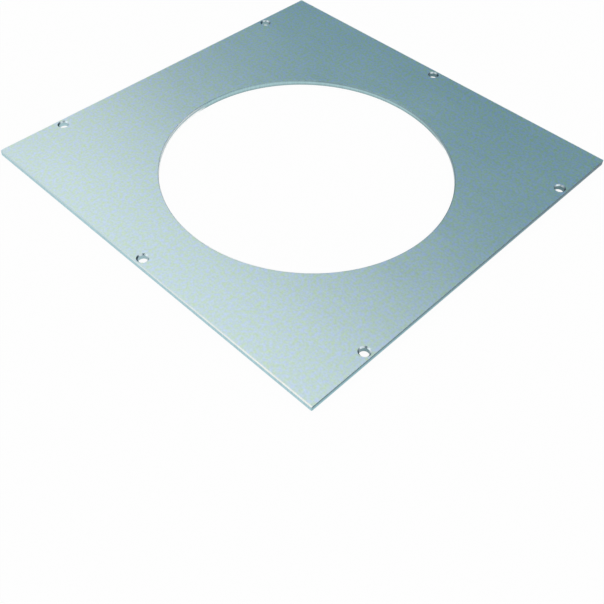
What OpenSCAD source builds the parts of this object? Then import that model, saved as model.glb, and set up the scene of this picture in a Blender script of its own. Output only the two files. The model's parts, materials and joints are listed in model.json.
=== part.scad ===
// Floor box cover plate: a square of thick zinc-plated sheet steel with one large round opening,
// which sits off the plate's centre, and six countersunk fixing holes along its four edges.
// X and Y run along the plate's sides, Z is up, and the origin is the centre of the underside.
// All sizes are in millimetres.

/* [Plate] */
// Side of the square plate
plate_side = 400; // [340:1:600]
// Thickness of the sheet
sheet_thickness = 5; // [3:0.5:12]
// Radius of the four corners, seen from above
corner_radius = 1; // [1:0.5:20]
// Radius that the cutting tools leave on the top face, round the opening and along the low X side
edge_roll = 0.8; // [0.2:0.1:0.9]

/* [Opening] */
// Diameter of the round opening
opening_d = 272.5; // [60:0.5:340]
// Distance from the plate's centre to the opening's centre, along X
opening_shift_x = -9.5; // [-20:0.5:20]
// Distance from the plate's centre to the opening's centre, along Y
opening_shift_y = -11.5; // [-20:0.5:20]

/* [Fixing holes] */
// Diameter of the through hole for the screw's shank
hole_d = 8.5; // [4.5:0.1:9]
// Diameter of the countersink at the top face
countersink_d = 11; // [9.5:0.1:14]
// Full angle of the countersink's cone
countersink_angle = 90; // [75:5:120]
// Distance from each hole's centre to the plate edge beside it
hole_inset = 7; // [6:0.5:20]
// Distance between the two holes of a row, along X
row_hole_spacing = 270; // [60:1:310]

/* [Hidden] */
$fn = 96;

half_side = plate_side / 2;
opening_r = opening_d / 2;
countersink_depth = (countersink_d - hole_d) / 2 / tan(countersink_angle / 2);

// How far every cutting shape runs past the faces it cuts
cut_overrun = 1;
opening_facets = 240;
zinc_plated_steel = [0.66, 0.72, 0.74];

// A row of two holes lies along each of the edges at the plate's low and high Y,
// and one more hole lies at the middle of each of the other two edges.
row_y = half_side - hole_inset;
row_holes = [for (x = [-1, 1], y = [-1, 1]) [x * row_hole_spacing / 2, y * row_y]];
middle_holes = [for (x = [-1, 1]) [x * (half_side - hole_inset), 0]];

// Section of the sheet at right angles to Y. The shears rolled its top corner on the low X side,
// and the plate's three other sides are left sharp.
module sheet_section() {
    translate([-half_side, 0]) square([plate_side, sheet_thickness - edge_roll]);
    translate([-half_side + edge_roll, 0]) square([plate_side - edge_roll, sheet_thickness]);
    translate([-half_side + edge_roll, sheet_thickness - edge_roll]) circle(edge_roll);
}

// What one square corner loses when it is rounded
module corner_offcut() {
    corner_centre = half_side - corner_radius;
    offcut_height = sheet_thickness + 2 * cut_overrun;
    translate([corner_centre, corner_centre, -cut_overrun])
        difference() {
            cube([corner_radius + cut_overrun, corner_radius + cut_overrun, offcut_height]);
            cylinder(r = corner_radius, h = offcut_height);
        }
}

// The square blank with its four rounded corners
module blank() {
    difference() {
        rotate([90, 0, 0]) linear_extrude(height = plate_side, center = true) sheet_section();
        for (turn = [0 : 90 : 270]) rotate(turn) corner_offcut();
    }
}

// The tool that cuts the round opening: a straight wall, flared by the rolled edge at the top
module opening_cutter() {
    rotate_extrude($fn = opening_facets) {
        translate([0, -cut_overrun]) square([opening_r, sheet_thickness + 2 * cut_overrun]);
        difference() {
            translate([opening_r, sheet_thickness - edge_roll])
                square([edge_roll, edge_roll + cut_overrun]);
            translate([opening_r + edge_roll, sheet_thickness - edge_roll])
                circle(edge_roll, $fn = 96);
        }
    }
}

// One countersunk fixing hole, from below the underside to above the top face
module countersunk_hole() {
    translate([0, 0, -cut_overrun]) cylinder(d = hole_d, h = sheet_thickness + 2 * cut_overrun);
    translate([0, 0, sheet_thickness - countersink_depth])
        cylinder(d1 = hole_d, d2 = countersink_d, h = countersink_depth);
    translate([0, 0, sheet_thickness]) cylinder(d = countersink_d, h = cut_overrun);
}

module cover_plate() {
    color(zinc_plated_steel)
        difference() {
            blank();
            translate([opening_shift_x, opening_shift_y, 0]) opening_cutter();
            for (place = concat(row_holes, middle_holes)) translate(place) countersunk_hole();
        }
}

cover_plate();
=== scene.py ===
# %% [markdown]
# A floor box cover plate in rolled zinc-plated steel
#
# The object is one square of 5 mm sheet steel with a large round opening and six countersunk screw holes.
# Nothing on it moves and nothing is fitted to it, so the whole likeness rests on four things: the true
# outline, the way cut edges catch light, a believable zinc finish and a studio light that falls off from
# one side of the sheet to the other. The cells below make them one after another.

# %% Load the fixed frame
import json
import math

import bmesh
import bpy
from mathutils import Matrix, Vector


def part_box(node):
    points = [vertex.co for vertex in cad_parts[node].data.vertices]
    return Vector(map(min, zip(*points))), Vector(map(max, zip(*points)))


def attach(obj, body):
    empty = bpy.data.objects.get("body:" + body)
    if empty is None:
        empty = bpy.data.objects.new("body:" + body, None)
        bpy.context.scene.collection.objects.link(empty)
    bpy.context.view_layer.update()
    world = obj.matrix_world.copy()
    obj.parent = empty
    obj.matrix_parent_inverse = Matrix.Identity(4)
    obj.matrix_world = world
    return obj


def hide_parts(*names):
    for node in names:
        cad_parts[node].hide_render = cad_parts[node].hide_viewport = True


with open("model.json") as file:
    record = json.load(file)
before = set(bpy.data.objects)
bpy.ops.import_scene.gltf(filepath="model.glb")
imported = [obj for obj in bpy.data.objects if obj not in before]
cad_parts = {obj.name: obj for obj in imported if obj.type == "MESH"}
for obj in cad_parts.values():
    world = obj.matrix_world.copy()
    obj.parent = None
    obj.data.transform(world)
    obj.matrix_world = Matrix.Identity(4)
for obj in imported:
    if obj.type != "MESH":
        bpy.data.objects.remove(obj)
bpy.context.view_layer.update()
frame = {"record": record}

# %% [markdown]
# Sizes
#
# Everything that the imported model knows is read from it: the box of the plate, the round opening and the
# two hole patterns. The straight wall of the opening is shorter than the sheet is thick, and what is missing
# is the rolled edge, so that radius is worked out too. Only the countersink and the corner radius are named
# here.

# %% Read the sizes from the frame
mounts = {mount["name"]: mount for mount in frame["record"]["mounts"]}
millimetre = 0.001

plate_low, plate_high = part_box("cover_plate")
plate_side = plate_high[0] - plate_low[0]
half_side = plate_side / 2
sheet_thickness = plate_high[2] - plate_low[2]

opening = mounts["opening"]
opening_radius = opening["dims"]["r_mm"] * millimetre
edge_roll = sheet_thickness - opening["dims"]["length_mm"] * millimetre

row_holes = mounts["row_screw_holes"]["dims"]
middle_holes = mounts["middle_screw_holes"]["dims"]
hole_radius = row_holes["hole_r_mm"] * millimetre
countersink_radius = 5.5 * millimetre
corner_radius = 1 * millimetre

print(f"plate {plate_side:.3f} m square, {sheet_thickness * 1000:.1f} mm thick")
print(f"opening radius {opening_radius * 1000:.2f} mm, rolled edge {edge_roll * 1000:.2f} mm")

# %% [markdown]
# The camera
#
# The reference view looks down on one corner of the plate with a normal 50 mm lens. The camera is placed by
# the point it stands at, the point on the plate that is at the picture's centre, and a small tilt of the
# horizon. Building the turn from a direction and a roll keeps those three choices readable.

# %% Place the camera
camera_place = Vector((-0.45866, -0.42018, 0.50451))
camera_target = Vector((-0.13330, -0.12522, 0.005))
camera_roll = math.radians(2.722)
camera_lens = 50

camera_data = bpy.data.cameras.new("camera")
camera_data.lens = camera_lens
camera_data.sensor_width = 36
camera_data.clip_start = 0.01
camera = bpy.data.objects.new("camera", camera_data)
bpy.context.scene.collection.objects.link(camera)
bpy.context.scene.camera = camera

looking = camera_target - camera_place
level_turn = looking.to_track_quat("-Z", "Y").to_matrix().to_4x4()
camera.matrix_world = Matrix.Translation(camera_place) @ level_turn @ Matrix.Rotation(camera_roll, 4, "Z")
print(f"camera {looking.length:.3f} m from the plate")

# %% [markdown]
# Small helpers for node trees
#
# Geometry and material trees are wired by the same three moves: add a node, set what it needs, and join its
# sockets. A value may be a number or another node's output, so `feed` takes both. With these helpers a
# formula reads almost like ordinary arithmetic.

# %% Helpers that add and join nodes
def add_node(tree, kind, **settings):
    """A new node of that kind with its own properties set."""
    made = tree.nodes.new(kind)
    for name, value in settings.items():
        setattr(made, name, value)
    return made


def feed(tree, socket, value):
    """Joins another node's output to a socket, or sets the socket to a plain value."""
    if isinstance(value, bpy.types.NodeSocket):
        tree.links.new(value, socket)
    else:
        socket.default_value = value


def calculate(tree, operation, *values):
    """One arithmetic step on numbers or sockets."""
    step = add_node(tree, "ShaderNodeMath", operation=operation)
    for socket, value in zip(step.inputs, values):
        feed(tree, socket, value)
    return step.outputs[0]


def total(tree, *values):
    """The sum of several numbers or sockets."""
    amount = values[0]
    for value in values[1:]:
        amount = calculate(tree, "ADD", amount, value)
    return amount


print("helpers for any node tree: add_node, feed, calculate, total")

# %% [markdown]
# Helpers that describe a surface
#
# A finish starts from a plain metal and then varies with the place and the direction of each point of the
# surface. One could paint an image, but formulas stay sharp at any distance and take their sizes from the
# plate. They read the object's own coordinates, so the finish stays put from any side. Noise gives grain and
# tool marks, and `share_between` says where one look turns into another: by the value at which the new look
# starts and the value at which it is complete.

# %% Helpers for metals, noise and shares
def new_metal(name, colour, roughness):
    """A plain metal: its material, its tree and its shader. Nodes may take over its colour and roughness."""
    material = bpy.data.materials.new(name)
    material.use_nodes = True
    shader = material.node_tree.nodes["Principled BSDF"]
    shader.inputs["Base Color"].default_value = (*colour, 1)
    shader.inputs["Metallic"].default_value = 1
    shader.inputs["Roughness"].default_value = roughness
    return material, material.node_tree, shader


def object_part(tree, output, axis):
    """One coordinate of the object's own position or normal."""
    source = add_node(tree, "ShaderNodeTexCoord")
    parts = add_node(tree, "ShaderNodeSeparateXYZ")
    tree.links.new(source.outputs[output], parts.inputs[0])
    return parts.outputs[axis]


def noise_on_object(tree, repeats, detail, seed):
    """Noise on object coordinates, from 0 to 1, with so many repeats in a metre along each axis."""
    place = add_node(tree, "ShaderNodeTexCoord")
    mapping = add_node(tree, "ShaderNodeMapping")
    mapping.inputs["Scale"].default_value = repeats
    mapping.inputs["Location"].default_value = (seed, seed * 2, seed * 3)
    tree.links.new(place.outputs["Object"], mapping.inputs["Vector"])
    noise = add_node(tree, "ShaderNodeTexNoise")
    noise.inputs["Scale"].default_value = 1
    noise.inputs["Detail"].default_value = detail
    tree.links.new(mapping.outputs["Vector"], noise.inputs["Vector"])
    return noise.outputs["Fac"]


def swing(tree, noise, amount):
    """The noise as a swing about 0: its mean of a half is taken off and the rest is scaled."""
    centred = calculate(tree, "SUBTRACT", noise, 0.5)
    return calculate(tree, "MULTIPLY", centred, amount)


def share_between(tree, value, start, full):
    """A share that is 0 where the value is at its start and 1 where it is full, and straight through both."""
    per_unit = 1 / (full - start)
    return calculate(tree, "MULTIPLY_ADD", value, per_unit, -start * per_unit)


def number_between(tree, share, first, second):
    """The number that a share picks between two others."""
    return calculate(tree, "MULTIPLY_ADD", share, second - first, first)


def print_finish(material):
    """Tells how many nodes a finish took."""
    print(f"finish {material.name}: {len(material.node_tree.nodes)} nodes")


print("helpers for finishes: new_metal, object_part, noise_on_object, swing, share_between, number_between")

# %% [markdown]
# The rolled zinc finish
#
# Zinc-plated sheet is a soft, slightly blue metal. In the reference view it has four scales at once: a fine
# grain, thin streaks along one direction, a mottle of faint blue and green tints, as a passivation bath can
# leave, and broad clouds. None of them is strong, and a flat metal colour without them looks like plastic.
# Each is noise with its own stretch, and their sum lightens or darkens one base colour. The grain and the
# tints are a little stronger where the sheet is darker, towards high X.

# %% Make the sheet's finish
zinc_colour = (0.66, 0.81, 0.82)
zinc_roughness = 0.33
green_against_blue = -0.10
mottle_at_low_x = 0.88
mottle_at_high_x = 1.36
zinc_sheet, zinc_tree, zinc_shader = new_metal("rolled_zinc_sheet", zinc_colour, zinc_roughness)

grain = noise_on_object(zinc_tree, repeats=(620, 480, 620), detail=2, seed=1.3)
fine_streaks = noise_on_object(zinc_tree, repeats=(520, 18, 520), detail=2, seed=4.1)
broad_streaks = noise_on_object(zinc_tree, repeats=(140, 7, 140), detail=1, seed=7.7)
clouds = noise_on_object(zinc_tree, repeats=(14, 9, 14), detail=2, seed=2.9)
tint_patches = noise_on_object(zinc_tree, repeats=(285, 285, 285), detail=2, seed=5.5)

sheet_x = object_part(zinc_tree, "Object", "X")
across_sheet = share_between(zinc_tree, sheet_x, start=-half_side, full=half_side)
mottle_strength = number_between(zinc_tree, across_sheet, mottle_at_low_x, mottle_at_high_x)
lighter_spots = total(
    zinc_tree,
    swing(zinc_tree, grain, amount=0.26),
    swing(zinc_tree, fine_streaks, amount=0.07),
    swing(zinc_tree, broad_streaks, amount=0.03),
    swing(zinc_tree, clouds, amount=0.03),
)
brightness = calculate(zinc_tree, "MULTIPLY_ADD", lighter_spots, mottle_strength, 1)
blue_swing = calculate(zinc_tree, "MULTIPLY", swing(zinc_tree, tint_patches, amount=1), mottle_strength)

zinc_red, zinc_green, zinc_blue = zinc_colour
tinted_green = calculate(zinc_tree, "MULTIPLY_ADD", blue_swing, green_against_blue, zinc_green)
tinted_blue = calculate(zinc_tree, "ADD", blue_swing, zinc_blue)
tinted = add_node(zinc_tree, "ShaderNodeCombineColor")
for socket, part in zip(tinted.inputs, (zinc_red, tinted_green, tinted_blue)):
    feed(zinc_tree, socket, calculate(zinc_tree, "MULTIPLY", brightness, part))
feed(zinc_tree, zinc_shader.inputs["Base Color"], tinted.outputs[0])

streaked_roughness = total(
    zinc_tree,
    zinc_roughness,
    swing(zinc_tree, fine_streaks, amount=0.08),
    swing(zinc_tree, clouds, amount=0.06),
)
feed(zinc_tree, zinc_shader.inputs["Roughness"], streaked_roughness)
print_finish(zinc_sheet)

# %% [markdown]
# Helpers for cut steel
#
# The five other finishes are all steel that a tool has cut, pressed or turned. Each is a few tones, blended
# by a share, with the tool's marks on top as noise that is stretched along the cut. Mixing whole colours is
# simpler than mixing brightness and tint apart, because each end of a blend can be judged by itself.
#
# The tones were matched to the reference view. Part of what it shows is probably light and reflections that
# the lamps and cards below don't give. That part is painted into the steel, so it stays where it is when the
# light or the view changes, and on the edges that the view doesn't show the tones are a guess.

# %% Helpers that blend tones and add tool marks
def blend_colours(tree, share, first, second):
    """A colour between two others. A share below 0 or above 1 gives one of the two."""
    mix = add_node(tree, "ShaderNodeMix", data_type="RGBA")
    feed(tree, mix.inputs["Factor"], share)
    # A mix node has a pair of inputs and an output for each kind of data, and these are the colours.
    for socket, colour in zip((mix.inputs[6], mix.inputs[7]), (first, second)):
        feed(tree, socket, colour if isinstance(colour, bpy.types.NodeSocket) else (*colour, 1))
    return mix.outputs[2]


def shaded(tree, colour, amount):
    """A colour made lighter or darker by an amount about 1."""
    scale = add_node(tree, "ShaderNodeVectorMath", operation="SCALE")
    feed(tree, scale.inputs[0], colour)
    feed(tree, scale.inputs["Scale"], amount)
    return scale.outputs[0]


def paint_with_marks(tree, shader, tone, marks, level=1):
    """Gives the shader a tone at so much of its brightness, made lighter and darker by tool marks."""
    feed(tree, shader.inputs["Base Color"], shaded(tree, tone, total(tree, level, marks)))


print("helpers for cut steel: blend_colours, shaded, paint_with_marks")

# %% [markdown]
# The sides at low and high Y
#
# A sheared edge isn't one tone. The side at low Y is darker than the side at low X and grows darker still
# towards high X, which is painted shade, and under the top face it has a dark band that gets wider towards
# high X. The side at high Y can't be seen in the reference view and gets the same. The band could be drawn
# with an outline of its own. Here it is a power of the height, because a power above 1 keeps it narrow and
# one below 1 widens it, so a single number that changes along the side sets its width.

# %% Start the sheared finish with its sides at low and high Y
side_shade_at_low_x = (0.33, 0.56, 0.61)
side_shade_at_high_x = (0.14, 0.29, 0.35)
dark_band = (0.02, 0.055, 0.075)
edge_roughness = 0.42
band_power_at_low_x = 2.15
band_power_at_high_x = 0.55

cut_edge, edge_tree, edge_shader = new_metal("sheared_edge", (0.40, 0.58, 0.63), edge_roughness)
edge_height = share_between(edge_tree, object_part(edge_tree, "Object", "Z"), start=0, full=sheet_thickness)
edge_x = object_part(edge_tree, "Object", "X")
along_edge = share_between(edge_tree, edge_x, start=-half_side, full=half_side)
band_power = number_between(edge_tree, along_edge, band_power_at_low_x, band_power_at_high_x)
dark_band_share = calculate(edge_tree, "POWER", edge_height, band_power)
# Darker towards high X along the side: painted shade.
painted_shade_side = blend_colours(edge_tree, along_edge, side_shade_at_low_x, side_shade_at_high_x)
side_with_dark_band = blend_colours(edge_tree, dark_band_share, painted_shade_side, dark_band)
print(f"the torn band's power goes from {band_power_at_low_x} to {band_power_at_high_x}")

# %% [markdown]
# The bright sides, a painted highlight and the shear marks
#
# The side at low X is painted brighter than the sides at low and high Y, as light that falls on it, and
# towards low Y it has a painted highlight: a strip near the top that is almost white. The side at high X
# can't be seen in the reference view and gets the same. One material serves all four sides: the square of
# the normal's Y is 1 on the sides at low and high Y and 0 on the bright ones, and it blends them round the
# corners. Upright shear marks go over all of it, and where they are light the steel is rougher.

# %% Add the bright sides and the shear marks
painted_lit_side = (0.42, 0.62, 0.67)
painted_highlight_strip = (0.95, 0.99, 0.94)
highlight_starts_y = 0.05
highlight_full_y = -0.15
rougher_by_marks = 0.4

# A painted highlight: an almost white strip near the top of the low X side, towards low Y.
near_the_top = share_between(edge_tree, edge_height, start=0.7125, full=0.8375)
highlight_length = share_between(edge_tree, object_part(edge_tree, "Object", "Y"),
                                 start=highlight_starts_y, full=highlight_full_y)
highlight_strip_share = calculate(edge_tree, "MULTIPLY", calculate(edge_tree, "MAXIMUM", near_the_top, 0),
                            highlight_length)
lit_side_with_highlight = blend_colours(edge_tree, highlight_strip_share, painted_lit_side, painted_highlight_strip)

# Brighter on the low X side than on the Y sides: painted light by facing.
facing_y = calculate(edge_tree, "POWER", object_part(edge_tree, "Normal", "Y"), 2)
edge_tone = blend_colours(edge_tree, facing_y, lit_side_with_highlight, side_with_dark_band)
upright_noise = noise_on_object(edge_tree, repeats=(900, 900, 90), detail=2, seed=3.7)
shear_marks = swing(edge_tree, upright_noise, amount=0.5)
paint_with_marks(edge_tree, edge_shader, edge_tone, shear_marks)
marks_roughness = calculate(edge_tree, "MULTIPLY", shear_marks, rougher_by_marks)
feed(edge_tree, edge_shader.inputs["Roughness"], total(edge_tree, edge_roughness, marks_roughness))
print_finish(cut_edge)

# %% [markdown]
# The burnished roll and its painted highlight
#
# The top corner of the low X side is round, as if the shears had pressed it, so its steel is made smoother
# than the sheet's skin. It is the thin light line along that side, and it gets brighter towards low Y: that
# is a painted highlight, because a lamp alone would light it too evenly. Its marks run along the side, which
# is noise stretched along Y.

# %% Make the finish of the roll
roll_at_high_y = (0.58, 0.72, 0.74)
roll_highlight_at_low_y = (0.86, 0.89, 0.85)
roll_level = 0.95

burnished_roll_and_highlight, roll_tree, roll_shader = new_metal("burnished_roll_and_highlight", (0.80, 0.90, 0.88), 0.30)
# Brighter towards low Y: a painted highlight.
roll_highlight_share = share_between(roll_tree, object_part(roll_tree, "Object", "Y"),
                              start=highlight_starts_y, full=highlight_full_y)
roll_tone = blend_colours(roll_tree, roll_highlight_share, roll_at_high_y, roll_highlight_at_low_y)
lengthwise_noise = noise_on_object(roll_tree, repeats=(900, 60, 900), detail=2, seed=5.2)
roll_marks = swing(roll_tree, lengthwise_noise, amount=0.2)
paint_with_marks(roll_tree, roll_shader, roll_tone, roll_marks, roll_level)
print_finish(burnished_roll_and_highlight)

# %% [markdown]
# The wall of the opening, as it was punched
#
# The wall's tone changes with the height: in the reference view it is darker at the bottom, bright at the
# middle and darker again towards the lip. The top darkens sooner and further where the wall faces low X, and
# the whole wall darkens as it turns to face high Y; this darkening by facing is painted shade. The zones
# could be three materials with hard limits, but blends by height and facing keep them soft and need no extra
# faces in the mesh.

# %% Make the zones of the punched wall
wall_bottom = (0.25, 0.37, 0.39)
wall_middle = (0.42, 0.62, 0.65)
wall_top = (0.29, 0.43, 0.46)
wall_top_facing_low_x = (0.22, 0.33, 0.36)
brightest_height = 0.6
top_darkens_faster = 2.5
painted_shade_facing_high_y = 0.5

punched_steel, punched_tree, punched_shader = new_metal("punched_opening", (0.45, 0.56, 0.58), 0.40)
wall_z = object_part(punched_tree, "Object", "Z")
wall_x_facing = object_part(punched_tree, "Normal", "X")
wall_y_facing = object_part(punched_tree, "Normal", "Y")
wall_share = share_between(punched_tree, wall_z, start=0, full=sheet_thickness)

below_middle = share_between(punched_tree, wall_share, start=0, full=brightest_height)
above_middle = share_between(punched_tree, wall_share, start=brightest_height, full=1)
# Where the wall faces low X its top is darker: painted shade.
facing_low_x = calculate(punched_tree, "MAXIMUM",
                         share_between(punched_tree, wall_x_facing, start=-0.5, full=-1), 0)
top_darkening_speed = number_between(punched_tree, facing_low_x, 1, top_darkens_faster)
top_share = calculate(punched_tree, "MULTIPLY", above_middle, top_darkening_speed)
lower_tone = blend_colours(punched_tree, below_middle, wall_bottom, wall_middle)
upper_tone = blend_colours(punched_tree, facing_low_x, wall_top, wall_top_facing_low_x)
zoned_tone = blend_colours(punched_tree, top_share, lower_tone, upper_tone)
# Darker as the wall turns to face high Y: painted shade.
painted_shade_by_facing = number_between(punched_tree, wall_y_facing, 1, painted_shade_facing_high_y)
zoned_wall = shaded(punched_tree, zoned_tone, calculate(punched_tree, "MINIMUM", painted_shade_by_facing, 1))
print("zones of the wall meet at", round(brightest_height * sheet_thickness * 1000, 2), "mm")

# %% [markdown]
# The pale stretches of that wall
#
# At the left and the right of the opening, where the wall faces high X or high Y, the reference view shows
# next to nothing of it, and why isn't known. The sheet is as thick there as elsewhere, so the wall stays
# whole, and its lower part is painted almost white, so that it melts into a white ground. This is tuned to
# that one view and says nothing about the real steel. Above that part the wall is as grey as the sheet beside
# it, which is paler where the wall faces high X: painted light. There the lip has a painted highlight too.
# The stretches have clear ends, so their shares run from start to full within about ten degrees of the
# circle.

# %% Paint the pale stretches and finish the wall
nearly_white = (0.97, 0.99, 0.98)
lip_painted_highlight = (0.95, 0.97, 0.96)
grey_facing_high_x = (0.42, 0.53, 0.56)
grey_facing_high_y = (0.22, 0.32, 0.36)

facing_high_x = share_between(punched_tree, wall_x_facing, start=-0.25, full=0.25)
# A painted highlight on the lip where the wall faces high X.
on_the_lip = calculate(punched_tree, "MAXIMUM",
                       share_between(punched_tree, wall_share, start=0.8, full=0.9), 0)
lip_share = calculate(punched_tree, "MULTIPLY", on_the_lip, facing_high_x)
lower_share = share_between(punched_tree, wall_share, start=0.46, full=0.36)
# Paler where the wall faces high X: painted light.
grey_upper = blend_colours(punched_tree, facing_high_x, grey_facing_high_y, grey_facing_high_x)
grey_with_lip = blend_colours(punched_tree, lip_share, grey_upper, lip_painted_highlight)
pale_stretch_wall = blend_colours(punched_tree, lower_share, grey_with_lip, nearly_white)

pale_towards_high_x = share_between(punched_tree, wall_x_facing, start=0.02, full=0.12)
pale_towards_high_y = share_between(punched_tree, wall_y_facing, start=0.3667, full=0.5333)
pale_stretch_share = calculate(punched_tree, "MAXIMUM", pale_towards_high_x, pale_towards_high_y)
wall_tone = blend_colours(punched_tree, pale_stretch_share, zoned_wall, pale_stretch_wall)
punch_noise = noise_on_object(punched_tree, repeats=(900, 900, 90), detail=2, seed=9.7)
punch_marks = swing(punched_tree, punch_noise, amount=0.4)
paint_with_marks(punched_tree, punched_shader, wall_tone, punch_marks)
print_finish(punched_steel)

# %% [markdown]
# The drilled walls
#
# The straight wall under each countersink is short and plain. In the reference view the holes are pale at the
# corner of low X and high Y and dark at the corner of high X and low Y, so one share across that diagonal
# sets the tone. That darkening across the plate is painted shade. A drill leaves rings, which is noise that
# changes fast with the height and hardly otherwise.

# %% Make the finish of the drilled walls
drilled_pale = (0.42, 0.60, 0.64)
drilled_dark = (0.13, 0.22, 0.24)

drilled_steel, drilled_tree, drilled_shader = new_metal("drilled_wall", (0.20, 0.30, 0.34), 0.35)
across_diagonal = calculate(drilled_tree, "SUBTRACT", object_part(drilled_tree, "Object", "X"),
                            object_part(drilled_tree, "Object", "Y"))
# Darker towards high X and low Y: painted shade.
painted_shade_share = share_between(drilled_tree, across_diagonal, start=-0.2955, full=0.1591)
drilled_tone = blend_colours(drilled_tree, painted_shade_share, drilled_pale, drilled_dark)
drill_noise = noise_on_object(drilled_tree, repeats=(60, 60, 3000), detail=2, seed=8.3)
drill_marks = swing(drilled_tree, drill_noise, amount=0.5)
paint_with_marks(drilled_tree, drilled_shader, drilled_tone, drill_marks)
print_finish(drilled_steel)

# %% [markdown]
# The turned countersinks
#
# The cones were turned, so their marks are rings too. In the reference view each cone has a dark crescent on
# the part that faces high X and low Y, and the holes towards high X have a second one on the part that faces
# the other way. They are most likely reflections, and the cards below give only a part of them, so they are
# painted into the finish. The normal's X less its Y tells which way a point faces, so both come from that one
# value.

# %% Make the finish of the countersinks
turned_bright = (0.60, 0.70, 0.74)
dark_crescent = (0.05, 0.09, 0.12)

turned_steel, turned_tree, turned_shader = new_metal("turned_countersink", (0.60, 0.70, 0.76), 0.30)
cone_facing = calculate(turned_tree, "SUBTRACT", object_part(turned_tree, "Normal", "X"),
                        object_part(turned_tree, "Normal", "Y"))
first_crescent = share_between(turned_tree, cone_facing, start=0.5556, full=1.1111)
facing_back = calculate(turned_tree, "MAXIMUM",
                        share_between(turned_tree, cone_facing, start=-0.55, full=-1.05), 0)
towards_high_x = share_between(turned_tree, object_part(turned_tree, "Object", "X"), start=-0.1, full=0.15)
second_crescent = calculate(turned_tree, "MULTIPLY", facing_back, towards_high_x)
crescent_share = calculate(turned_tree, "MAXIMUM", first_crescent, second_crescent)
turned_tone = blend_colours(turned_tree, crescent_share, turned_bright, dark_crescent)
ring_noise = noise_on_object(turned_tree, repeats=(0, 0, 4200), detail=1, seed=6.1)
rings = swing(turned_tree, ring_noise, amount=0.30)
paint_with_marks(turned_tree, turned_shader, turned_tone, rings)
print_finish(turned_steel)

# %% [markdown]
# The plate, by Geometry Nodes
#
# A plate like this follows a rule: every cut edge is one section swept along one outline, and the two flat
# faces fill what lies between the edges. It could be modelled by hand or cut with booleans, but a tree of
# geometry nodes says the rule itself, with the real sizes as its inputs, and leaves clean rings of faces
# where the light runs along an edge.

# %% Start the tree and name its inputs
plate_tree = bpy.data.node_groups.new("plate_from_outline_and_section", "GeometryNodeTree")
plate_sizes = {
    "Plate Side": plate_side,
    "Sheet Thickness": sheet_thickness,
    "Corner Radius": corner_radius,
    "Edge Roll": edge_roll,
    "Opening Radius": opening_radius,
    "Opening Across": opening["pos_m"][0],
    "Opening Along": opening["pos_m"][1],
    "Hole Radius": hole_radius,
    "Countersink Radius": countersink_radius,
    "Row Hole Spacing": row_holes["spacing_x_mm"] * millimetre,
    "Row Distance": row_holes["spacing_y_mm"] * millimetre,
    "Middle Hole Distance": middle_holes["spacing_x_mm"] * millimetre,
}
plate_tree.interface.new_socket("Plate", in_out="OUTPUT", socket_type="NodeSocketGeometry")
size_sockets = {}
for size_name in plate_sizes:
    size_sockets[size_name] = plate_tree.interface.new_socket(
        size_name, in_out="INPUT", socket_type="NodeSocketFloat")
sizes = add_node(plate_tree, "NodeGroupInput").outputs


def plate_math(operation, *values):
    """One arithmetic step in the plate's tree."""
    return calculate(plate_tree, operation, *values)


def plate_node(kind, settings=None, **sockets):
    """A node of the plate's tree, with its properties and its sockets set."""
    made = add_node(plate_tree, kind, **(settings or {}))
    for name, value in sockets.items():
        feed(plate_tree, made.inputs[name.replace("_", " ")], value)
    return made.outputs[0]


print("inputs of the tree:", ", ".join(plate_sizes))

# %% [markdown]
# The three sections
#
# A section is a short curve whose points are placed by a formula of their own index. The rolled section goes
# up the straight wall, over a quarter circle and a little way in on the flat face. That last narrow flat
# keeps the smooth shading of the roll from spreading over the whole sheet. The outline's section has its
# points just as far in, but stays square, because only one side of the plate is rolled. The countersunk
# section goes up the hole's wall and out along the cone. A sweep lays a section's Y downwards, so heights
# go in negative.

# %% Draw the sections
roll_steps = 8
lip_width = 0.15 * millimetre
rolled_points = roll_steps + 3
countersunk_points = 3
index = plate_node("GeometryNodeInputIndex")
steps_past_first = plate_math("MAXIMUM", plate_math("SUBTRACT", index, 1), 0)
above_bottom = plate_math("MINIMUM", index, 1)


def section_curve(point_count, out, up):
    """A section of so many points, each put out and up by a formula of its index."""
    line = plate_node("GeometryNodeCurvePrimitiveLine")
    spread = plate_node("GeometryNodeResampleCurve", {"mode": "COUNT"}, Curve=line, Count=point_count)
    corner = plate_node("ShaderNodeCombineXYZ", X=out, Y=plate_math("MULTIPLY", up, -1))
    return plate_node("GeometryNodeSetPosition", Geometry=spread, Position=corner)


roll_share = plate_math("MINIMUM", plate_math("DIVIDE", steps_past_first, roll_steps), 1)
roll_angle = plate_math("MULTIPLY", roll_share, math.pi / 2)
short_of_square = plate_math("SUBTRACT", 1, plate_math("COSINE", roll_angle))
roll_in = plate_math("MULTIPLY", sizes["Edge Roll"], short_of_square)
roll_up = plate_math("MULTIPLY", sizes["Edge Roll"], plate_math("SINE", roll_angle))
wall_height = plate_math("SUBTRACT", sizes["Sheet Thickness"], sizes["Edge Roll"])
past_roll = plate_math("MAXIMUM", plate_math("SUBTRACT", steps_past_first, roll_steps), 0)
rolled_out = plate_math("ADD", roll_in, plate_math("MULTIPLY", past_roll, lip_width))
rolled_up = plate_math("MULTIPLY", above_bottom, plate_math("ADD", wall_height, roll_up))
rolled_section = section_curve(rolled_points, rolled_out, rolled_up)
square_up = plate_math("MULTIPLY", above_bottom, sizes["Sheet Thickness"])
square_section = section_curve(rolled_points, rolled_out, square_up)

cone_width = plate_math("SUBTRACT", sizes["Countersink Radius"], sizes["Hole Radius"])
hole_wall = plate_math("SUBTRACT", sizes["Sheet Thickness"], cone_width)
cone_out = plate_math("MULTIPLY", steps_past_first, cone_width)
cone_up = plate_math("ADD", plate_math("MULTIPLY", above_bottom, hole_wall), cone_out)
countersunk_section = section_curve(countersunk_points, cone_out, cone_up)
print(f"sections of {rolled_points}, {rolled_points} and {countersunk_points} points")

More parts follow.
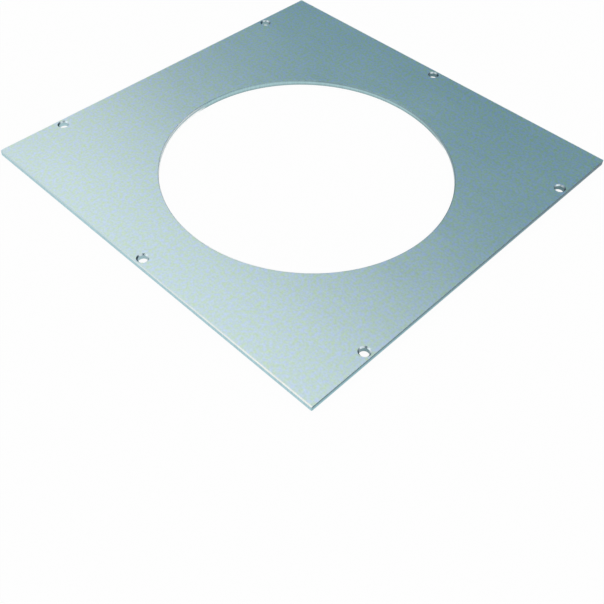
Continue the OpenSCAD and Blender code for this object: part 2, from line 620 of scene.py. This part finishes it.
# %% [markdown]
# The outline
#
# The outline is a square whose corners are filleted, and it is reversed so that its section turns inwards.
# Only the low X side has a rolled top edge, so there a rule of the distance from that side lowers the points
# onto a quarter circle, and they fade into the square corners by themselves.

# %% Sweep the outline and roll its low X side
corner_steps = 8

square = plate_node("GeometryNodeCurvePrimitiveQuadrilateral",
                    Width=sizes["Plate Side"], Height=sizes["Plate Side"])
rounded = plate_node("GeometryNodeFilletCurve", {"mode": "POLY"}, Curve=square, Count=corner_steps,
                     Radius=sizes["Corner Radius"])
inward = plate_node("GeometryNodeReverseCurve", Curve=rounded)
square_edge = plate_node("GeometryNodeCurveToMesh", Curve=inward, Profile_Curve=square_section)

place = add_node(plate_tree, "ShaderNodeSeparateXYZ")
plate_tree.links.new(plate_node("GeometryNodeInputPosition"), place.inputs[0])
half_thickness = plate_math("DIVIDE", sizes["Sheet Thickness"], 2)
upper_half = plate_math("GREATER_THAN", place.outputs["Z"], half_thickness)
lower_half = plate_math("LESS_THAN", place.outputs["Z"], half_thickness)
from_low_side = plate_math("ADD", place.outputs["X"], plate_math("DIVIDE", sizes["Plate Side"], 2))
short_of_flat = plate_math("MAXIMUM", plate_math("SUBTRACT", sizes["Edge Roll"], from_low_side), 0)
squares_apart = plate_math("SUBTRACT", plate_math("POWER", sizes["Edge Roll"], 2),
                           plate_math("POWER", short_of_flat, 2))
roll_height = plate_math("SQRT", plate_math("MAXIMUM", squares_apart, 0))
drop = plate_node("ShaderNodeCombineXYZ", Z=plate_math("SUBTRACT", roll_height, sizes["Edge Roll"]))
outer_edge = plate_node("GeometryNodeSetPosition", Geometry=square_edge, Selection=upper_half, Offset=drop)
print(f"outline with {corner_steps} steps round each corner")

# %% [markdown]
# The opening and the holes
#
# The opening is a circle, moved off the centre as the real one is. One countersunk hole is made at the origin
# and then repeated on six points: four of a grid and two of a line. Repeating one hole is lighter than six
# sweeps, and keeps the six alike if a size changes.

# %% Sweep the opening and the six holes
opening_steps = 320
hole_steps = 56

opening_ring = plate_node("GeometryNodeCurvePrimitiveCircle", Resolution=opening_steps,
                          Radius=sizes["Opening Radius"])
centred_opening = plate_node("GeometryNodeCurveToMesh", Curve=opening_ring, Profile_Curve=rolled_section)
opening_place = plate_node("ShaderNodeCombineXYZ", X=sizes["Opening Across"], Y=sizes["Opening Along"])
opening_edge = plate_node("GeometryNodeTransform", Geometry=centred_opening, Translation=opening_place)

hole_ring = plate_node("GeometryNodeCurvePrimitiveCircle", Resolution=hole_steps, Radius=sizes["Hole Radius"])
one_hole = plate_node("GeometryNodeCurveToMesh", Curve=hole_ring, Profile_Curve=countersunk_section)
row_points = plate_node("GeometryNodeMeshGrid", Vertices_X=2, Vertices_Y=2,
                        Size_X=sizes["Row Hole Spacing"], Size_Y=sizes["Row Distance"])
half_middle = plate_math("DIVIDE", sizes["Middle Hole Distance"], 2)
middle_start = plate_node("ShaderNodeCombineXYZ", X=plate_math("MULTIPLY", half_middle, -1))
middle_step = plate_node("ShaderNodeCombineXYZ", X=sizes["Middle Hole Distance"])
middle_points = plate_node("GeometryNodeMeshLine", Count=2, Start_Location=middle_start, Offset=middle_step)


def joined(*parts):
    """Several geometries as one."""
    join = add_node(plate_tree, "GeometryNodeJoinGeometry")
    for part in parts:
        plate_tree.links.new(part, join.inputs["Geometry"])
    return join.outputs["Geometry"]


hole_instances = plate_node("GeometryNodeInstanceOnPoints", Points=joined(row_points, middle_points),
                            Instance=one_hole)
holes = plate_node("GeometryNodeRealizeInstances", Geometry=hole_instances)
print(f"opening of {opening_steps} steps, holes of {hole_steps} steps")

# %% [markdown]
# The finishes of the edges
#
# Each sweep gets its finishes by height, from the top downwards. On the outline, the narrow flat at the top
# belongs to the sheet's own skin, the roll lies below it and the sheared edge below that. In the opening, all
# that is below the flat is punched. In a hole the cone is turned and the wall under it is drilled. Setting
# the lowest finish last is the simplest way, because each step only has to say where it stops.

# %% Set the finishes of the edges
weld_distance = 0.001 * millimetre
flat_height = plate_math("SUBTRACT", sizes["Sheet Thickness"], weld_distance)
below_top = plate_math("LESS_THAN", place.outputs["Z"], flat_height)
below_roll = plate_math("LESS_THAN", place.outputs["Z"], wall_height)
below_cone = plate_math("LESS_THAN", place.outputs["Z"], hole_wall)


def with_finish(geometry, material, selection=True):
    """The geometry with a material on the selected faces."""
    return plate_node("GeometryNodeSetMaterial", Geometry=geometry, Selection=selection, Material=material)


rolled_side = with_finish(with_finish(outer_edge, zinc_sheet), burnished_roll_and_highlight, below_top)
sheared_edges = with_finish(rolled_side, cut_edge, below_roll)
punched_edges = with_finish(with_finish(opening_edge, zinc_sheet), punched_steel, below_top)
drilled_edges = with_finish(with_finish(holes, turned_steel), drilled_steel, below_cone)
edges = joined(sheared_edges, punched_edges, drilled_edges)
print("edges joined: the outline, the opening and the holes")

# %% [markdown]
# The flat faces
#
# What is left open are the rims of the sweeps, at the top and at the bottom. Their edges belong to only one
# face, so they can be picked out, turned into curves and filled. The fill uses the very same points, which
# is why merging closes the plate without a gap. Edges that turn by more than 30 degrees are then marked
# sharp, so that flat faces stay flat and the rolls stay round.

# %% Fill the faces and close the plate
sharp_angle = math.radians(30)
count_tolerance = 0.1
faces_at_edge = add_node(plate_tree, "GeometryNodeInputMeshEdgeNeighbors").outputs["Face Count"]
open_edge = plate_math("COMPARE", faces_at_edge, 1, count_tolerance)


def flat_face(geometry, rim, lift):
    """The face between the open rims, lifted to its height and shaded flat."""
    selection = plate_math("MULTIPLY", open_edge, rim)
    rims = plate_node("GeometryNodeMeshToCurve", Mesh=geometry, Selection=selection)
    filled = plate_node("GeometryNodeFillCurve", Curve=rims)
    lifted = plate_node("GeometryNodeSetPosition", Geometry=filled,
                        Offset=plate_node("ShaderNodeCombineXYZ", Z=lift))
    return plate_node("GeometryNodeSetShadeSmooth", {"domain": "FACE"}, Geometry=lifted, Shade_Smooth=False)


top_face = flat_face(edges, upper_half, sizes["Sheet Thickness"])
bottom_face = plate_node("GeometryNodeFlipFaces", Mesh=flat_face(edges, lower_half, 0))
flat_faces = with_finish(joined(top_face, bottom_face), zinc_sheet)

closed_plate = plate_node("GeometryNodeMergeByDistance", Geometry=joined(edges, flat_faces),
                          Distance=weld_distance)
is_sharp = plate_math("GREATER_THAN", plate_node("GeometryNodeInputMeshEdgeAngle"), sharp_angle)
sharp_plate = plate_node("GeometryNodeSetShadeSmooth", {"domain": "EDGE"}, Geometry=closed_plate,
                         Selection=is_sharp, Shade_Smooth=False)
tree_end = add_node(plate_tree, "NodeGroupOutput")
plate_tree.links.new(sharp_plate, tree_end.inputs["Plate"])
print("nodes in the tree:", len(plate_tree.nodes))

# %% [markdown]
# From tree to plain mesh
#
# The modifier's inputs are set by their identifiers, the result is read once from the evaluated object, and
# the plate then goes on as an ordinary mesh. A look at its edges shows whether the sweeps and the fills met.

# %% Run the tree and keep its mesh
carrier = bpy.data.objects.new("plate_carrier", bpy.data.meshes.new("plate_carrier"))
bpy.context.scene.collection.objects.link(carrier)
modifier = carrier.modifiers.new("plate", "NODES")
modifier.node_group = plate_tree
for size_name, size in plate_sizes.items():
    modifier[size_sockets[size_name].identifier] = size

evaluated = carrier.evaluated_get(bpy.context.evaluated_depsgraph_get())
plate_mesh = bpy.data.meshes.new_from_object(evaluated)
plate_mesh.name = "cover_plate_sheet"
bpy.data.objects.remove(carrier)
plate = bpy.data.objects.new("cover_plate_sheet", plate_mesh)
bpy.context.scene.collection.objects.link(plate)

measured = bmesh.new()
measured.from_mesh(plate_mesh)
open_edges = [edge for edge in measured.edges if len(edge.link_faces) != 2]
print(f"{len(measured.faces)} faces, {len(open_edges)} open edges, {measured.calc_volume() * 1e9:.0f} mm3")
measured.free()

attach(plate, "root")
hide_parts("cover_plate")

# %% [markdown]
# The studio floor
#
# Metal shows little of its own colour and much of the room, so the room is drawn with care. It starts with a
# white floor. A white diffuse floor would need strong lamps to look white, and they would bleach the plate.
# This one glows for the camera and for reflections only. A small part of it stays diffuse and takes the
# plate's shadow, which is very faint, because the plate is thin and the light is soft.

# %% Build the floor
floor_reach = 8
floor_grey = 0.9
white_share = 0.95


def sees_backdrop(tree):
    """One where the camera, a reflection or a clear surface looks at the backdrop, otherwise zero."""
    path = add_node(tree, "ShaderNodeLightPath")
    seen = calculate(tree, "MAXIMUM", path.outputs["Is Camera Ray"], path.outputs["Is Glossy Ray"])
    return calculate(tree, "MAXIMUM", seen, path.outputs["Is Transmission Ray"])


def flat_panel(name, corners):
    """A stage object of one face."""
    mesh = bpy.data.meshes.new(name)
    mesh.from_pydata(corners, [], [range(len(corners))])
    panel = bpy.data.objects.new(name, mesh)
    bpy.context.scene.collection.objects.link(panel)
    return panel


def glow(tree, colour):
    """A plain emission that shows its colour as written."""
    light = add_node(tree, "ShaderNodeEmission")
    light.inputs["Color"].default_value = (*colour, 1)
    light.inputs["Strength"].default_value = 1
    return light.outputs[0]


floor = flat_panel("floor", [(-floor_reach, -floor_reach, 0), (floor_reach, -floor_reach, 0),
                             (floor_reach, floor_reach, 0), (-floor_reach, floor_reach, 0)])
floor_finish = bpy.data.materials.new("white_floor")
floor_finish.use_nodes = True
floor_tree = floor_finish.node_tree
floor_tree.nodes.clear()
floor_paint = add_node(floor_tree, "ShaderNodeBsdfDiffuse")
floor_paint.inputs["Color"].default_value = (floor_grey, floor_grey, floor_grey, 1)
floor_mix = add_node(floor_tree, "ShaderNodeMixShader")
floor_white = calculate(floor_tree, "MULTIPLY", sees_backdrop(floor_tree), white_share)
feed(floor_tree, floor_mix.inputs["Fac"], floor_white)
floor_tree.links.new(floor_paint.outputs[0], floor_mix.inputs[1])
floor_tree.links.new(glow(floor_tree, (1, 1, 1)), floor_mix.inputs[2])
floor_out = add_node(floor_tree, "ShaderNodeOutputMaterial")
floor_tree.links.new(floor_mix.outputs[0], floor_out.inputs["Surface"])
floor.data.materials.append(floor_finish)
print(f"floor {floor_reach * 2} m square, {white_share:.0%} glow where it is seen")

# %% [markdown]
# The world
#
# The world is white to the camera and to reflections as well, and it lights the plate a little less than
# that, so that pale steel keeps its colour instead of clipping to white.

# %% Light the world
light_level = 0.85

world = bpy.data.worlds.new("studio_world")
bpy.context.scene.world = world
world.use_nodes = True
world_tree = world.node_tree
world_back = world_tree.nodes["Background"]
world_back.inputs["Color"].default_value = (1, 1, 1, 1)
backdrop_gain = calculate(world_tree, "MULTIPLY", sees_backdrop(world_tree), 1 - light_level)
feed(world_tree, world_back.inputs["Strength"], total(world_tree, light_level, backdrop_gain))
print(f"the world lights the plate at {light_level} of white")

# %% [markdown]
# The cards
#
# A photographer stands dark cards round polished metal, so that it has something dark to mirror. Five stand
# here, upright and facing the plate. Each is placed by its bearing, counted from the X axis towards the
# Y axis, its distance, its lowest and highest point and its width, and only reflections see it. The tall
# blue-grey one makes the sheet darken from left to right. The others are there for the countersinks: the one
# beside the camera darkens the middle of a cone, the two to the right its left part and the one beyond the
# far corner its right part.

# %% Stand the cards round the plate
def upright_card(name, bearing, distance, low, high, width, colour, slide=0):
    """A card that only reflections see, slid sideways where it isn't centred on its bearing."""
    outward = Vector((math.cos(math.radians(bearing)), math.sin(math.radians(bearing)), 0))
    sideways = Vector((-outward.y, outward.x, 0))
    middle = outward * distance + sideways * slide
    first_side = middle - sideways * width / 2
    second_side = middle + sideways * width / 2
    bottom = Vector((0, 0, low))
    top = Vector((0, 0, high))
    panel = flat_panel(name, [first_side + bottom, second_side + bottom, second_side + top, first_side + top])
    finish = bpy.data.materials.new(name)
    finish.use_nodes = True
    finish.node_tree.nodes.clear()
    surface = add_node(finish.node_tree, "ShaderNodeOutputMaterial").inputs["Surface"]
    finish.node_tree.links.new(glow(finish.node_tree, colour), surface)
    panel.data.materials.append(finish)
    panel.visible_camera = False
    panel.visible_diffuse = False
    panel.visible_shadow = False
    print(f"card {name}: {width} m wide, {distance} m away")


upright_card("blue_grey_card", bearing=-6.4, distance=3, low=0, high=4.7, width=8,
             colour=(0.17, 0.30, 0.36), slide=3.2)
upright_card("camera_side_card", bearing=209, distance=1.3, low=0.45, high=4.0, width=0.85,
             colour=(0.07, 0.12, 0.15))
upright_card("right_grey_card", bearing=322, distance=2, low=0.65, high=2.0, width=1.4,
             colour=(0.12, 0.18, 0.22))
upright_card("right_low_card", bearing=5, distance=2.6, low=0, high=0.9, width=3.0,
             colour=(0.03, 0.05, 0.06))
upright_card("far_corner_card", bearing=70, distance=5, low=0, high=2.4, width=2.8,
             colour=(0.10, 0.16, 0.19))

# %% [markdown]
# The lamps
#
# Two soft lamps stand to the left and to the right. Each leaves one glint in every countersink, on the side
# across from it, and the left one also draws the bright line along the roll. Their light is weak enough to
# leave colours as written.

# %% Add the two soft lamps
def soft_lamp(name, bearing, height_angle, distance, size, watts):
    """A square soft lamp that faces the plate."""
    data = bpy.data.lights.new(name, "AREA")
    data.shape = "SQUARE"
    data.size = size
    data.energy = watts
    lamp = bpy.data.objects.new(name, data)
    level = distance * math.cos(math.radians(height_angle))
    lamp.location = (level * math.cos(math.radians(bearing)), level * math.sin(math.radians(bearing)),
                     distance * math.sin(math.radians(height_angle)))
    lamp.rotation_euler = (-lamp.location).to_track_quat("-Z", "Y").to_euler()
    bpy.context.scene.collection.objects.link(lamp)
    print(f"lamp {name}: {watts} W at {bearing} degrees")


soft_lamp("left_lamp", bearing=153, height_angle=31, distance=1.8, size=0.5, watts=0.6)
soft_lamp("right_lamp", bearing=285, height_angle=30, distance=1.8, size=0.5, watts=0.6)

# %% [markdown]
# View settings
#
# The Standard view shows colours as they are written.

# %% Set the view
bpy.context.scene.view_settings.view_transform = "Standard"
